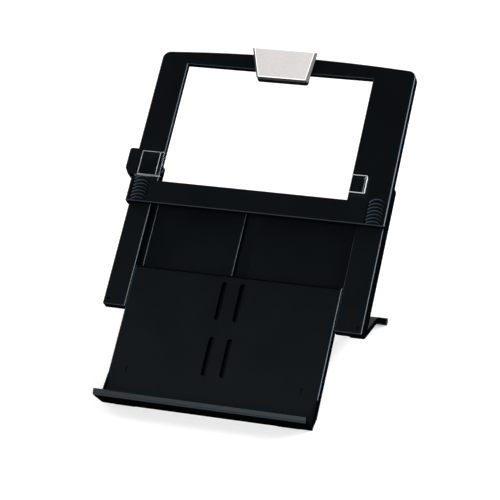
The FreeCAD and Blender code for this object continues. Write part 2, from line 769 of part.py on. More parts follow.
def make_ledge_screws():
    """Small screws that hold the ledge's flange up to the tray."""
    screws = []
    for number, (x, y) in enumerate(ledge_screw_places):
        screws.append(screw(f"ledge_screw_{number}", x, y, "ledge_screw_head", flange_level, seat_level,
                            "ledge_screw_radius", "-tray_plate + ledge_screw_bite"))
    joined("ledge_screws", screws, keep=True)


def make_tray_brakes():
    """Felt pads under the tray that rub on the recess's floor and hold the tray where it is put."""
    for side, name in ((-1, "tray_brake_left"), (1, "tray_brake_right")):
        body = start_body(name)
        grow(body, "XY", f"{panel_level} + 0.05", f"{pad_seat_level} + pad_seat", [pad_outline(side, "0")])


def frame_outline(inset="0"):
    """The frame's outline with its crowned top and rounded corners, drawn in by an inset."""
    x = f"({half_frame} - {inset})"
    shoulder = f"({half_frame} - frame_corner)"
    side_top = f"({frame_shoulder} - frame_corner)"
    top = f"({frame_shoulder} - {inset})"
    return [
        (f"-{x}", frame_bottom), (x, frame_bottom), (x, side_top), (shoulder, top), (f"-{shoulder}", top),
        (f"-{x}", side_top),
    ]


def frame_bulges():
    """Radii of the corner arcs and of the long crown between them."""
    half = f"({half_frame} - frame_corner)"
    crown = f"(({half} * {half} + frame_crown * frame_crown) / (2 * frame_crown))"
    return {2: "frame_corner * 1.12", 3: crown, 4: "frame_corner * 1.12"}


def make_frame_front():
    """The front moulding of the upper frame: window, side skirts, top flange and thumb grips."""
    body = start_body("frame_front")
    grow(body, "XY", "-skirt_drop", "frame_face", [frame_outline()], bulges=frame_bulges())
    face = value("frame_face")
    round_edges(body, "frame_round", lambda e: near(e.BoundBox.ZMin, face) and near(e.BoundBox.ZMax, face))
    inner = frame_outline("skirt_wall")
    inner[0] = (inner[0][0], f"{frame_bottom} - 1")
    inner[1] = (inner[1][0], f"{frame_bottom} - 1")
    carve(body, "XY", "-skirt_drop", frame_back_level, [inner], bulges=frame_bulges())
    window = rectangle(window_x0, window_x1, window_low, window_high)
    carve(body, "XY", frame_back_level, "frame_face", [window])
    middle = value(f"({window_x0} + {window_x1}) / 2")
    window_edges = [(middle, value(window_low)), (middle, value(window_high)),
                    (value(window_x0), value(f"({window_low} + {window_high}) / 2")),
                    (value(window_x1), value(f"({window_low} + {window_high}) / 2"))]
    round_edges(body, "edge_round", lambda e: near(e.BoundBox.ZMin, face) and near(e.BoundBox.ZMax, face)
                and any(near(e.CenterOfMass.x, x) and near(e.CenterOfMass.y, y) for x, y in window_edges))
    for side in (-1, 1):
        x0, x1 = side_span(side, f"{half_frame} - skirt_wall - groove_depth + 0.5", f"{half_frame} - 1")
        hook = rectangle(x0, x1, frame_bottom, f"{frame_shoulder} - frame_corner")
        grow(body, "XY", "-skirt_drop", "-skirt_drop + skirt_hook", [hook])
    low, high = f"{window_low} + hollow_rise", f"{window_high} + 1"
    hollow_left = rectangle(f"skirt_wall + wall - {half_frame}", f"{window_x0} - wall", low, high)
    hollow_right = rectangle(f"{window_x1} + wall", f"{half_frame} - skirt_wall - wall", low, high)
    hollow_sill = rectangle("-hollow_half", "hollow_half", f"{frame_bottom} + wall", f"{window_low} - wall")
    carve(body, "XY", frame_back_level, "frame_face - frame_skin", [hollow_left, hollow_right, hollow_sill])
    bosses = [(place, "frame_boss_radius") for place in frame_screw_places]
    grow(body, "XY", frame_back_level, "frame_face - frame_skin + weld", discs=bosses)
    holes = [(place, "screw_radius") for place in frame_screw_places]
    carve(body, "XY", frame_back_level, "frame_face - frame_skin", discs=holes)
    for side in (-1, 1):
        make_grip(body, side)


def make_grip(body, side):
    """A scooped thumb grip with arched ribs, at a lower corner of the frame."""
    inner = f"{half_frame} - grip_inset - grip_width"
    outer = f"{half_frame} - grip_inset"
    x0, x1 = side_span(side, inner, outer)
    dome = f"{frame_bottom} + grip_height - grip_width / 2"
    scoop = rectangle(x0, x1, f"{frame_bottom} + grip_low", dome)
    carve(body, "XY", "frame_face - grip_depth", "frame_face", [scoop],
          bulges={2: "grip_width / 2 + 0.001"})
    rib_half = "(grip_width / 2 - grip_side)"
    middle = f"({x0} + grip_width / 2)"
    rise = f"({frame_bottom} + grip_low + weld)"
    rib = [
        (f"{middle} - {rib_half}", rise), (f"{middle} + {rib_half}", rise),
        (f"{middle} + {rib_half}", f"{rise} + grip_rib"), (f"{middle} - {rib_half}", f"{rise} + grip_rib"),
    ]
    sketch = draw(body, "XY", "frame_face - grip_depth")
    add_arched_rib(sketch, rib)
    ridge = body.newObject("PartDesign::Pad", f"{body.Label}_rib")
    ridge.Profile = sketch
    bind(ridge, "Length", "grip_depth - 0.3")
    row = body.newObject("PartDesign::LinearPattern", f"{body.Label}_ribs")
    row.Originals = [ridge]
    row.Direction = (sketch, ["V_Axis"])
    row.Occurrences = 6
    bind(row, "Length", "grip_pitch * 5")
    body.Tip = row
    doc.recompute()


def add_arched_rib(sketch, rib):
    """A closed rib between two upward arcs of the same radius."""
    points = [FreeCAD.Vector(value(x), value(y), 0) for x, y in rib]
    radius = value("grip_bow")
    upper = bulged_arc(points[2], points[3], radius)
    lower = bulged_arc(points[1], points[0], radius)
    right = Part.LineSegment(points[1], points[2])
    left = Part.LineSegment(points[3], points[0])
    sketch.addGeometry([lower, right, upper, left], False)
    ends = []
    for index, start in ((0, points[1]), (2, points[2])):
        forward = (sketch.Geometry[index].StartPoint - start).Length < 1e-6
        ends.append((1, 2) if forward else (2, 1))
    (low_start, low_end), (up_start, up_end) = ends
    for a, ea, b, eb in ((0, low_start, 1, 1), (1, 2, 2, up_start), (2, up_end, 3, 1), (3, 2, 0, low_end)):
        sketch.addConstraint(Sketcher.Constraint("Coincident", a, ea, b, eb))
    for index, position, point in ((1, 1, rib[1]), (1, 2, rib[2]), (3, 1, rib[3]), (3, 2, rib[0])):
        fixed_point(sketch, index, position, point)
    for index in (0, 2):
        number = sketch.addConstraint(Sketcher.Constraint("Radius", index, radius))
        bind(sketch, f"Constraints[{number}]", "grip_bow")


def make_frame_back():
    """The flat plate that closes the frame from behind."""
    body = start_body("frame_back")
    inner = frame_outline("(skirt_wall + 0.2)")
    inner[0] = (inner[0][0], f"{frame_bottom} + 0.5")
    inner[1] = (inner[1][0], f"{frame_bottom} + 0.5")
    grow(body, "XY", plate_level, frame_back_level, [inner], bulges=frame_bulges())
    window = rectangle(window_x0, window_x1, window_low, window_high)
    carve(body, "XY", plate_level, frame_back_level, [window])
    shanks = [(place, "screw_radius") for place in frame_screw_places]
    carve(body, "XY", plate_level, frame_back_level, discs=shanks)
    heads = [(place, "frame_screw_head") for place in frame_screw_places]
    carve(body, "XY", plate_level, f"{plate_level} + frame_screw_sink", discs=heads)


def make_frame_screws():
    head_top = f"{plate_level} + frame_screw_sink"
    tip = "frame_face - frame_skin - tip_gap"
    screws = [
        screw(f"frame_screw_{number}", x, y, "frame_screw_head", plate_level, head_top, "screw_radius", tip)
        for number, (x, y) in enumerate(frame_screw_places)
    ]
    joined("frame_screws", screws, keep=True)


def make_frame_glides():
    """Low-friction strips under the frame that ride on the base's side strips."""
    for side, name in ((-1, "frame_glide_left"), (1, "frame_glide_right")):
        body = start_body(name)
        x0, x1 = side_span(side, f"{arm_inner} + glide_inner", f"{arm_inner} + glide_outer")
        glide = rectangle(x0, x1, f"{frame_bottom} + glide_low", "base_length - glide_high")
        grow(body, "XY", "0.05", plate_level, [glide])


def make_clip_bracket():
    """The black saddle on the frame's top bar, with the tongue that the jaw closes on."""
    body = start_body("clip_bracket")
    top = f"({frame_top} + bracket_over)"
    over = f"({frame_top} + running_gap)"
    low = f"({window_high} - jaw_overlap)"
    plate = rectangle("-tongue_half", "tongue_half", low, top)
    grow(body, "XY", "frame_face", "frame_face + bracket_plate", [plate])
    tip = value(low)
    round_edges(body, "tongue_corner",
                lambda e: straight_along(e, OUTWARD) and near(e.CenterOfMass.y, tip))
    bridge = rectangle("-tongue_half", "tongue_half", over, top)
    grow(body, "XY", saddle_low, "frame_face + 0.5", [bridge])
    catch = rectangle("-tongue_half", "tongue_half", f"{over} - bracket_catch", top)
    grow(body, "XY", saddle_low, f"{saddle_low} + bracket_back", [catch])
    low, high = f"{clip_pin_y} - lug_radius", f"{clip_pin_y} + lug_radius"
    ear = rectangle(low, high, "frame_face + 0.5", "clip_pin_height")
    hub = (clip_pin_y, "clip_pin_height")
    for side in (-1, 1):
        x0, x1 = side_span(side, "clip_lug - lug_plate", "clip_lug")
        grow(body, "YZ", x0, x1, [ear])
        grow(body, "YZ", x0, x1, discs=[(hub, "lug_radius")])
    carve(body, "YZ", "-clip_lug - 1", "clip_lug + 1", discs=[(hub, "clip_pin_radius + pin_fit")])


def lean_clip(obj):
    """Places a piece that is drawn around the clip's pin, leaning as the lever does at rest."""
    turn = FreeCAD.Rotation(ACROSS, value("clip_lean"))
    obj.Placement = FreeCAD.Placement(FreeCAD.Vector(0, value(clip_pin_y), value("clip_pin_height")), turn)


def clip_outline(inset):
    """The clip's trapezoid, drawn in by an inset."""
    return [
        (f"{inset} - clip_bottom_half", f"{inset} - clip_reach"),
        (f"clip_bottom_half - {inset}", f"{inset} - clip_reach"),
        (f"clip_top_half - {inset}", f"clip_reach - {inset}"),
        (f"{inset} - clip_top_half", f"clip_reach - {inset}"),
    ]


def make_clip_lever():
    """The black lever under the bright cover, with the lugs that turn on the pin."""
    body = start_body("clip_lever")
    grow(body, "XY", "clip_plate_low", "clip_plate_high", [clip_outline("clip_wall")])
    lug = rectangle("-lever_lug_radius", "lever_lug_radius", "0", "clip_plate_low + 0.5")
    for side in (-1, 1):
        x0, x1 = side_span(side, "clip_lug + running_gap", "clip_lug + running_gap + lever_lug_plate")
        grow(body, "YZ", x0, x1, [lug])
        grow(body, "YZ", x0, x1, discs=[(("0", "0"), "lever_lug_radius")])
    carve(body, "YZ", "-clip_lug - 4", "clip_lug + 4", discs=[(("0", "0"), "clip_pin_radius + pin_play")])
    lean_clip(body)


def bevel_edges(body, size, wanted):
    """Bevels the edges of the body's last feature that the test picks."""
    tip = body.Tip
    names = [f"Edge{i + 1}" for i, edge in enumerate(tip.Shape.Edges) if wanted(edge)]
    bevel = body.newObject("PartDesign::Chamfer", f"{body.Label}_bevel")
    bevel.Base = (tip, names)
    bind(bevel, "Size", size)
    doc.recompute()


def make_clip_cover():
    """The bright trapezoid plate with bevelled sides, hollowed to sit over the lever."""
    body = start_body("clip_cover")
    rim = "(clip_plate_high - clip_rim)"
    grow(body, "XY", rim, "clip_plate_high + clip_cover", [clip_outline("0")])
    reach = value("clip_reach")
    round_edges(body, "clip_corner",
                lambda e: straight_along(e, OUTWARD) and near(e.CenterOfMass.y, -reach))
    top = value("clip_plate_high + clip_cover")
    bevel_edges(body, "clip_bevel", lambda e: near(e.BoundBox.ZMin, top) and near(e.BoundBox.ZMax, top)
                and not near(e.CenterOfMass.y, reach))
    carve(body, "XY", rim, "clip_plate_high", [clip_outline("clip_wall")])
    lean_clip(body)


def make_clip_pin():
    body = start_body("clip_pin")
    hub = (clip_pin_y, "clip_pin_height")
    grow(body, "YZ", "-clip_lug - clip_pin_over", "clip_lug + clip_pin_over",
         discs=[(hub, "clip_pin_radius")])


def make_clip_spring():
    """The torsion spring on the pin, as a sleeve of the coil's outer size with one arm on the saddle."""
    hub = (clip_pin_y, "clip_pin_height")
    coil = cylinder("clip_spring_coil", "x", "clip_pin_radius + coil_wire", "-coil_half", "coil_half", *hub)
    bore = cylinder("clip_spring_bore", "x", "clip_pin_radius + coil_play",
                    "-coil_half - 1", "coil_half + 1", *hub)
    arm = block("clip_spring_arm", "coil_half - 1", "coil_half",
                f"{clip_pin_y} - coil_arm_outer", f"{clip_pin_y} - coil_arm_inner",
                "frame_face + bracket_plate + 0.05", "clip_pin_height")
    whole = joined("clip_spring_whole", [coil, arm])
    less("clip_spring", whole, bore, keep=True)


def make_clip_pad():
    """The soft pad under the lever's lower edge that presses the paper."""
    body = start_body("clip_pad")
    low = f"({window_high} - jaw_overlap)"
    pad = rectangle("clip_pad_side - tongue_half", "tongue_half - clip_pad_side",
                    f"{low} + clip_pad_low", f"{low} + clip_pad_high")
    grow(body, "XY", "frame_face + bracket_plate", "frame_face + bracket_plate + clip_pad", [pad])


head_x0 = f"({window_x0} - head_width + head_lap)"
head_x1 = f"({window_x0} + head_lap)"
bar_end = f"({window_x1} + bar_overlap)"
guide_level = "(frame_face + guide_clear)"
bar_level = "(frame_face + guide_clear + slider_plate + 0.1)"
brake_y0 = "(guide_middle - brake_half)"
brake_y1 = "(guide_middle + brake_half)"


def make_guide_slider():
    """The black block that wraps the frame's left edge and carries the clear bar."""
    body = start_body("guide_slider")
    outer = f"(-{half_frame} - guide_clear - slider_wall)"
    edge = f"(-{half_frame} - guide_clear)"
    low = "(guide_middle - slider_height / 2)"
    high = "(guide_middle + slider_height / 2)"
    side = [
        (f"{outer} + slider_taper", low), (edge, low), (edge, high),
        (f"{outer} + slider_chamfer", high), (outer, f"{high} - slider_chamfer"),
        (outer, f"{low} + slider_taper_rise"),
    ]
    hook_level = "(-skirt_drop - guide_clear - slider_hook)"
    grow(body, "XY", hook_level, f"{bar_level} + head_depth", [side])
    shelf = rectangle(f"{edge} - 0.5", f"{head_x1} - shelf_short",
                      f"{low} + shelf_side", f"{high} - shelf_side")
    grow(body, "XY", guide_level, f"{guide_level} + slider_plate", [shelf])
    cheek = rectangle(f"{edge} - 0.5", f"{head_x0} - 0.2", f"{low}", f"{high}")
    grow(body, "XY", guide_level, f"{bar_level} + head_depth", [cheek])
    catch = rectangle(f"{edge} - 0.5", f"{edge} + 1.8", low, high)
    grow(body, "XY", hook_level, f"{hook_level} + slider_hook", [catch])
    seat = rectangle(f"{edge} - brake_bite", f"{edge} + 0.2", brake_y0, brake_y1)
    carve(body, "XY", "brake_low", "brake_high", [seat])


def make_guide_brake():
    """The friction pad in the slider that bears on the frame's skirt."""
    body = start_body("guide_brake_pad")
    edge = f"(-{half_frame} - guide_clear)"
    pad = rectangle(f"{edge} - brake_bite", f"-{half_frame} - 0.05", brake_y0, brake_y1)
    grow(body, "XY", "brake_low", "brake_high", [pad])


def make_guide_bar():
    """The clear line guide: a long flat bar with a rimmed head and a runner at its far end."""
    body = start_body("guide_bar")
    low, high = "(guide_middle - bar_height / 2)", "(guide_middle + bar_height / 2)"
    head_low, head_high = "(guide_middle - head_height / 2)", "(guide_middle + head_height / 2)"
    head = rectangle(head_x0, head_x1, head_low, head_high)
    grow(body, "XY", bar_level, f"{bar_level} + head_depth", [head])
    y0, y1 = f"{head_low} + head_rim", f"{head_high} - head_rim"
    wells = [
        rectangle(f"{head_x0} + head_rim", f"{head_x1} - head_rib - head_rim", y0, y1),
        rectangle(f"{head_x1} - head_rib", f"{head_x1} - head_rim", y0, y1),
    ]
    carve(body, "XY", f"{bar_level} + bar_plate", f"{bar_level} + head_depth", wells)
    bar = rectangle(f"{head_x1} - 1", bar_end, low, high)
    grow(body, "XY", bar_level, f"{bar_level} + bar_plate", [bar])
    runner = rectangle(f"{bar_end} - runner_wall", bar_end, f"{low} + 1", f"{high} - 1")
    grow(body, "XY", guide_level, f"{bar_level} + 0.5", [runner])


def leg_corners():
    """The leg's centre line, from its hub to the middle of its rubber foot."""
    lean = math.radians(value("tilt"))
    ways = [FreeCAD.Vector(0, math.sin(math.radians(a)), -math.cos(math.radians(a))) for a in LEG_ANGLES]
    hub = FreeCAD.Vector(0, value("hub_place"), value(pin_level))
    knee = hub + ways[0] * value("leg_first")
    ankle = knee + ways[1] * value("leg_second")
    up = FreeCAD.Vector(0, math.sin(lean), math.cos(lean))
    drop = (ankle - desk_start()).dot(up) - value("rubber_radius")
    return [hub, knee, ankle, ankle + ways[2] * (drop / -ways[2].dot(up))]


def band(points, radius, thickness):
    """A face of even thickness along straight runs that tangent arcs join, in the YZ plane."""
    sides = {1: [], -1: []}
    ways = [(points[i + 1] - points[i]).normalize() for i in range(len(points) - 1)]
    lasts = {sign: points[0] + ways[0].cross(ACROSS) * (sign * thickness / 2) for sign in sides}
    starts = dict(lasts)
    for i in range(1, len(points) - 1):
        before, after = ways[i - 1], ways[i]
        turn = before.getAngle(after)
        back = radius * math.tan(turn / 2)
        inward = (after - before).normalize()
        centre = points[i] + inward * (radius / math.cos(turn / 2))
        tangent_in = points[i] - before * back
        tangent_out = points[i] + after * back
        for sign in sides:
            a = tangent_in + before.cross(ACROSS) * (sign * thickness / 2)
            b = tangent_out + after.cross(ACROSS) * (sign * thickness / 2)
            middle = centre - inward * (a - centre).Length
            sides[sign] += [Part.makeLine(lasts[sign], a), Part.Arc(a, middle, b).toShape()]
            lasts[sign] = b
    for sign in sides:
        end = points[-1] + ways[-1].cross(ACROSS) * (sign * thickness / 2)
        sides[sign].append(Part.makeLine(lasts[sign], end))
        lasts[sign] = end
    ends = [Part.makeLine(lasts[1], lasts[-1]), Part.makeLine(starts[-1], starts[1])]
    edges = sides[1] + sides[-1] + ends
    return Part.Face(Part.Wire(Part.__sortEdges__(edges)))


def leg_strap(x0, x1):
    """The leg's bent strap between two places across the board."""
    strap = band(leg_corners(), value("leg_bend"), value("leg_plate")).extrude(ACROSS * (x1 - x0))
    strap.translate(ACROSS * x0)
    return strap


def make_leg(side, name):
    """The S-shaped strap that props the board, with its hub on the pin."""
    x0, x1 = (value(x) for x in side_span(side, leg_inner, leg_outer))
    start = leg_corners()[0] + ACROSS * x0
    hub = Part.makeCylinder(value("hub_radius - running_gap"), x1 - x0, start, ACROSS)
    bore = Part.makeCylinder(value("leg_pin_radius + pin_play"), x1 - x0, start, ACROSS)
    leg = doc.addObject("Part::Feature", name)
    leg.Label = name
    leg.Shape = leg_strap(x0, x1).fuse(hub).cut(bore).removeSplitter()
    pieces[name] = leg


def make_leg_foot(side, name):
    """The rubber sleeve on the leg's end, closed round the strap."""
    centre = leg_corners()[-1]
    x0, x1 = side_span(side, f"{leg_middle} - rubber_width / 2", f"{leg_middle} + rubber_width / 2")
    sleeve = cylinder(f"{name}_sleeve", "x", "rubber_radius", x0, x1, str(centre.y), str(centre.z))
    strap = doc.addObject("Part::Feature", f"{name}_socket")
    strap.Shape = leg_strap(*(value(x) for x in side_span(side, leg_inner, leg_outer)))
    less(name, sleeve, strap, keep=True)


def make_leg_pin(side, name):
    spare = "running_gap + ear_wall"
    x0, x1 = side_span(side, f"{leg_inner} - ({spare})", f"{leg_outer} + {spare}")
    body = start_body(name)
    grow(body, "YZ", x0, x1, discs=[(("hub_place", pin_level), "leg_pin_radius")])


def make_legs():
    for side, word in ((-1, "left"), (1, "right")):
        make_leg(side, f"leg_{word}")
        make_leg_foot(side, f"leg_foot_{word}")
        make_leg_pin(side, f"leg_pin_{word}")


def board_placement():
    return FreeCAD.Placement(FreeCAD.Vector(), FreeCAD.Rotation(FreeCAD.Vector(1, 0, 0), value("tilt")))


def lean_board():
    """Leans every piece back with the board and brings the middle of the footprint to the origin."""
    board = board_placement()
    for piece in pieces.values():
        piece.Placement = board.multiply(piece.Placement)
    doc.recompute()
    whole = FreeCAD.BoundBox()
    for piece in pieces.values():
        whole.add(piece.Shape.BoundBox)
    shift = FreeCAD.Vector(-whole.Center.x, -whole.Center.y, -whole.ZMin)
    for piece in pieces.values():
        piece.Placement = FreeCAD.Placement(shift, FreeCAD.Rotation()).multiply(piece.Placement)
    doc.recompute()
    return shift


def check_and_write():
    for obj in doc.Objects:
        if "Invalid" in obj.State or "Error" in obj.State:
            raise RuntimeError(f"{obj.Name} is {obj.State}")
    for name, piece in pieces.items():
        if piece.Shape.isNull() or not piece.Shape.isValid() or not piece.Shape.Solids:
            raise RuntimeError(f"{name} has no valid solid")
    os.makedirs("parts", exist_ok=True)
    for name, piece in pieces.items():
        piece.Shape.exportStep(f"parts/{name}.step")
        print(name, len(piece.Shape.Solids), "solids", round(piece.Shape.Volume), "mm3")


make_base_shell()
make_base_cover()
make_base_screws()
make_strip_plugs()
make_tray_plate()
make_tray_ledge()
make_tray_feet()
make_ledge_screws()
make_tray_brakes()
make_frame_front()
make_frame_back()
make_frame_screws()
make_frame_glides()
make_clip_bracket()
make_clip_lever()
make_clip_cover()
make_clip_pin()
make_clip_spring()
make_clip_pad()
make_guide_slider()
make_guide_brake()
make_guide_bar()
make_legs()
print("origin shift", lean_board())
check_and_write()
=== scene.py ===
"""Looks of the copy holder: the finishes of its pieces, a pale studio and the camera."""

import json
import math

import bmesh
import bpy
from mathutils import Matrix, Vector

# Lengths are in metres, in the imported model's own frame.
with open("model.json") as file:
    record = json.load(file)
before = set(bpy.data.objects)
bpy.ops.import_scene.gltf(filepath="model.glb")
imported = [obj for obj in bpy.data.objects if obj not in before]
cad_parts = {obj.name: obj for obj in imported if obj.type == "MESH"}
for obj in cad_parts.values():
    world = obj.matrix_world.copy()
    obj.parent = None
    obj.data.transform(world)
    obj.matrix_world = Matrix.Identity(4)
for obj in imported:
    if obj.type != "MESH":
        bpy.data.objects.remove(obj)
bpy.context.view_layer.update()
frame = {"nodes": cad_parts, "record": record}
nodes = frame["nodes"]

# The photograph's viewpoint, with its turns in degrees.
CAMERA_PLACE = (0.66453, -1.82462, 1.19503)
CAMERA_TURN = (60.997, 3.126, 17.991)
CAMERA_LENS = 145.11
CAMERA_SHIFT = (-0.01014, -0.01072)

# The board leans back by this angle, and the clip by more; these are the ways that they face.
LEAN = math.radians(37)
RIGHT = (1.0, 0.0, 0.0)
OUTWARD = (0.0, -math.sin(LEAN), math.cos(LEAN))
UP_SLOPE = (0.0, math.cos(LEAN), math.sin(LEAN))
CLIP_LEAN = LEAN + math.radians(24)
CLIP_FACING = (0.0, -math.sin(CLIP_LEAN), math.cos(CLIP_LEAN))
CLIP_UP = (0.0, math.cos(CLIP_LEAN), math.sin(CLIP_LEAN))

# How much narrower the clip's plate is at the bottom, on each side, and how far in its painted rim
# highlight runs.
CLIP_TAPER = 0.008
CLIP_HIGHLIGHT_BAND = 0.0034

# The guide's rimmed head, the stretch of its far end that lies on the frame, its pale cut lines,
# and how much of it is plain see-through on the frame and over the window.
HEAD_WIDTH = 0.028
HEAD_DEPTH = 0.0034
END_LAP = 0.0183
EDGE_LINE = 0.0008
CLEAR_ON_FRAME = 0.72
CLEAR_OVER_WINDOW = 0.97

# The thumb grips: how far they are from the frame's sides, their size, where their ribs start
# above its lower edge, and the tone of the highlight painted on the ribs.
GRIP_SIDE = 0.0045
GRIP_WIDTH = 0.018
GRIP_HEIGHT = 0.0325
RIB_START = 0.001
RIB_HIGHLIGHT_TONE = 0.11

# Ways that faces look, as the cosine between a face and a direction. Edges that get a painted
# highlight turn right by between two of these, and side walls, cut edges and bevels turn outward by
# less than one.
EDGE_LEAST_RIGHT = 0.2
EDGE_MOST_RIGHT = 0.92
SIDE_WALL = 0.25
CUT_EDGE = 0.6
CLIP_BEVEL = 0.95
CLIP_LIT_SIDE = 0.4
RIB_FACE = -0.5

# The tone of the highlight painted on edges that face right, and the cold cast of gloss on black
# plastic.
EDGE_HIGHLIGHT_TONE = 0.14
COLD_TINT = (0.7, 0.88, 1.0, 1.0)

# The floor's half width, own glow and tone, and the dark card's half width and height.
FLOOR_SIZE = 12
FLOOR_GLOW = 0.44
FLOOR_TONE = 0.9
CARD_SIZE = 3.6
CARD_HEIGHT = 3.2

# The soft boxes' names, places, widths and watts, and the point that they all face.
LAMPS = (
    ("right_box", (1.75, 0.1, 1.2), 1.0, 28),
    ("front_box", (0.3, -1.9, 1.0), 0.6, 12),
    ("lip_box", (-0.5, -1.6, 1.45), 0.5, 6),
    ("left_box", (-1.7, 0.5, 0.8), 1.0, 9),
)
LAMP_AIM = (0.0, 0.0, 0.1)


class Number:
    """A shader socket that adds Math nodes when it is used in an expression."""

    def __init__(self, finish, socket):
        self.finish = finish
        self.socket = socket

    def math(self, operation, *values):
        settings = {"operation": operation}
        return self.finish.add("ShaderNodeMath", settings, dict(enumerate(values)))["Value"]

    def __add__(self, other):
        return self.math("ADD", self, other)

    __radd__ = __add__

    def __sub__(self, other):
        return self.math("SUBTRACT", self, other)

    def __rsub__(self, other):
        return self.math("SUBTRACT", other, self)

    def __mul__(self, other):
        return self.math("MULTIPLY", self, other)

    __rmul__ = __mul__

    def __gt__(self, other):
        return self.math("GREATER_THAN", self, other)

    def __lt__(self, other):
        return self.math("LESS_THAN", self, other)

    def absolute(self):
        return self.math("ABSOLUTE", self)

    def larger(self, other):
        return self.math("MAXIMUM", self, other)

    def smaller(self, other):
        return self.math("MINIMUM", self, other)

    def along(self, direction):
        """A vector's length along a direction."""
        settings = {"operation": "DOT_PRODUCT"}
        return self.finish.add("ShaderNodeVectorMath", settings, {0: self, 1: direction})["Value"]


class Node:
    """A shader node whose outputs are read by name or number."""

    def __init__(self, finish, node):
        self.finish = finish
        self.node = node

    def __getitem__(self, name):
        return Number(self.finish, self.node.outputs[name])


class Finish:
    """A node material under construction, with one Principled shader at its end."""

    def __init__(self, name, **constants):
        self.material = bpy.data.materials.new(name)
        self.material.use_nodes = True
        self.tree = self.material.node_tree
        self.shader = self.tree.nodes["Principled BSDF"]
        self.place = self.add("ShaderNodeTexCoord")["Object"]
        for word, value in constants.items():
            socket = word.replace("_", " ").title().replace("Ior", "IOR")
            self.shader.inputs[socket].default_value = value

    def add(self, kind, settings=None, inputs=None):
        """Adds a node, with its settings first and then the values or links of its sockets."""
        node = self.tree.nodes.new(kind)
        for word, value in (settings or {}).items():
            setattr(node, word, value)
        for word, value in (inputs or {}).items():
            self.feed(node.inputs[word], value)
        return Node(self, node)

    def feed(self, socket, value):
        if isinstance(value, Number):
            self.tree.links.new(value.socket, socket)
        else:
            socket.default_value = value

    def vary(self, word, value):
        """Feeds one of the Principled shader's sockets."""
        self.feed(self.shader.inputs[word], value)

    def normal(self):
        return self.add("ShaderNodeNewGeometry")["Normal"]

    def noise(self, size, detail=2.0, roughness=0.5):
        """Noise from 0 to 1 whose grains are about this size."""
        inputs = {"Vector": self.place, "Scale": 1 / size, "Detail": detail, "Roughness": roughness}
        return self.add("ShaderNodeTexNoise", None, inputs)["Fac"]

    def cells(self, size):
        """Distance to the nearest cell's middle, for pebbled grains of about this size."""
        inputs = {"Vector": self.place, "Scale": 1 / size}
        return self.add("ShaderNodeTexVoronoi", None, inputs)["Distance"]

    def blend(self, mask, low, high):
        """A colour that runs from low to high with the mask."""
        colour_inputs = {"Factor": mask, 6: low, 7: high}
        return self.add("ShaderNodeMix", {"data_type": "RGBA"}, colour_inputs)[2]

    def level(self, value, low, high):
        """A value between 0 and 1 carried to a new range."""
        return value * (high - low) + low

    def cover(self, mask, kind, colour):
        """Shows a plain shader of another kind where the mask is 1."""
        end = self.tree.nodes["Material Output"].inputs["Surface"]
        under = Number(self, end.links[0].from_socket)
        over = self.add(kind, None, {"Color": colour})[0]
        self.feed(end, self.add("ShaderNodeMixShader", None, {"Fac": mask, 1: under, 2: over})[0])

    def relief(self, height, depth):
        """Bumps of this depth in metres, on the shader's normal."""
        inputs = {"Height": height, "Strength": 1.0, "Distance": depth}
        self.vary("Normal", self.add("ShaderNodeBump", None, inputs)["Normal"])


def grey(level):
    return (level, level, level, 1.0)


def cool(level):
    """A dark tone with the cold cast of studio light on black plastic."""
    return (level * 0.75, level, level * 1.3, 1.0)


def reach(name, direction):
    """How far a node reaches backwards and forwards along a direction."""
    places = [vertex.co.dot(Vector(direction)) for vertex in nodes[name].data.vertices]
    return min(places), max(places)


def painted_rib_highlight(finish):
    """A mask of the thumb grips' ribs, on the faces that look down the slope, for a painted
    highlight.
    """
    left, right = reach("frame_front", RIGHT)
    low, _ = reach("frame_front", UP_SLOPE)
    middle, half = (left + right) / 2, (right - left) / 2
    off_middle = (finish.place.along(RIGHT) - middle).absolute()
    across = (off_middle > half - GRIP_SIDE - GRIP_WIDTH) * (off_middle < half - GRIP_SIDE)
    rise = finish.place.along(UP_SLOPE)
    upright = (rise > low + RIB_START) * (rise < low + GRIP_HEIGHT)
    return across * upright * (finish.normal().along(UP_SLOPE) < RIB_FACE)


def moulded_black(name, level, grain, depth, roughness, shine=0.36, ribs=False):
    """Black plastic with a spark-eroded grain, faint cloudy wear, matt sides and painted edge
    highlights.
    """
    finish = Finish(name, specular_ior_level=shine, specular_tint=COLD_TINT)
    cloud = finish.noise(0.035, 3.0)
    speck = finish.noise(grain, 2.0, 0.6)
    colour = finish.blend(cloud * 0.6 + speck * 0.4, cool(level * 0.7), cool(level * 1.35))
    normal = finish.normal()
    to_right = normal.along(RIGHT)
    outward = normal.along(OUTWARD)
    # Edges that turn to the right are painted lighter, as a highlight from light on that side.
    right_lit_edge = (to_right > EDGE_LEAST_RIGHT) * (to_right < EDGE_MOST_RIGHT)
    colour = finish.blend(right_lit_edge * (outward > SIDE_WALL), colour, cool(EDGE_HIGHLIGHT_TONE))
    matt_side = outward.absolute() < SIDE_WALL
    if ribs:
        # The ribs' faces that look down the slope are painted lighter, as a highlight.
        lit_ribs = painted_rib_highlight(finish)
        colour = finish.blend(lit_ribs, colour, cool(RIB_HIGHLIGHT_TONE))
        matt_side = matt_side * (1 - lit_ribs)
    finish.vary("Base Color", colour)
    finish.cover(matt_side, "ShaderNodeBsdfDiffuse", cool(level))
    wear = finish.level(cloud * 0.5 + speck * 0.5, roughness - 0.06, roughness + 0.06)
    finish.vary("Roughness", wear)
    finish.relief(speck, depth)
    return finish.material


def soft_rubber():
    """Black rubber with a pebbled skin and a little dust."""
    finish = Finish("black_rubber", specular_ior_level=0.08)
    dust = finish.noise(0.004, 4.0, 0.7)
    finish.vary("Base Color", finish.blend(dust, cool(0.001), cool(0.003)))
    finish.vary("Roughness", finish.level(dust, 0.6, 0.8))
    finish.relief(finish.cells(0.0006), 0.00004)
    return finish.material


